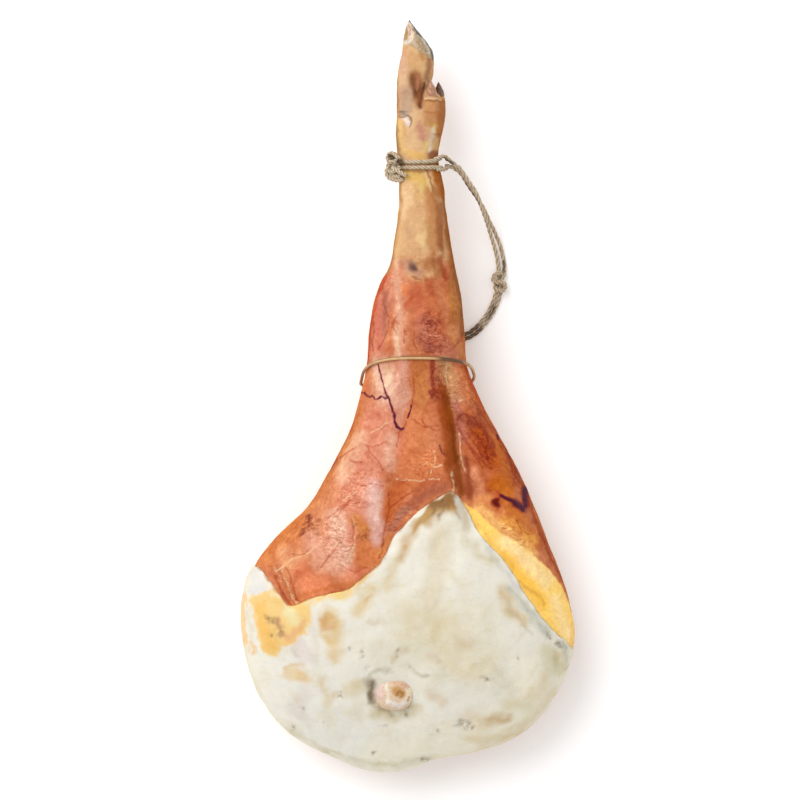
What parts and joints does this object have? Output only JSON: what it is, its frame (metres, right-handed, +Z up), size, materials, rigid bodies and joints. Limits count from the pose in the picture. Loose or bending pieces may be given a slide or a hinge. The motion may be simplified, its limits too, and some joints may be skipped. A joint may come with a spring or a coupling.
{
  "type": "cured ham",
  "caption": "Whole dry-cured ham on the bone with its trotter; the cut face is smeared with lard, and a rope is tied round the ankle and knotted into a hanging loop.",
  "frame": {"origin": "on the surface that the ham lies on, under the middle of the ham's outline, measured without the rope's free loop", "axes": "+Y along the leg towards the hoof, +X to the right seen from above, +Z up out of the cut face"},
  "size_m": [0.3314, 0.7507, 0.1391],
  "materials": {
    "skin": "cured meat, silverskin and rind, satin with an oily shine",
    "lard": "smeared lard, soft satin",
    "bone": "cut bone, satin",
    "hoof": "horn, satin",
    "rope": "laid natural fibre, matt",
    "cord": "smooth tan elastic, satin"
  },
  "bodies": {
    "root": {"ham": "skin", "lard_coat": "lard", "bone_end": "bone", "hoof_near": "hoof", "hoof_far": "hoof", "dewclaw_near": "hoof", "dewclaw_far": "hoof", "rope_turn_upper": "rope", "rope_turn_lower": "rope", "rope_hitch": "rope", "rope_run_outer": "rope", "rope_run_inner": "rope", "rope_knot": "rope", "rope_bight": "rope", "shank_band": "cord"}
  },
  "joints": []
}
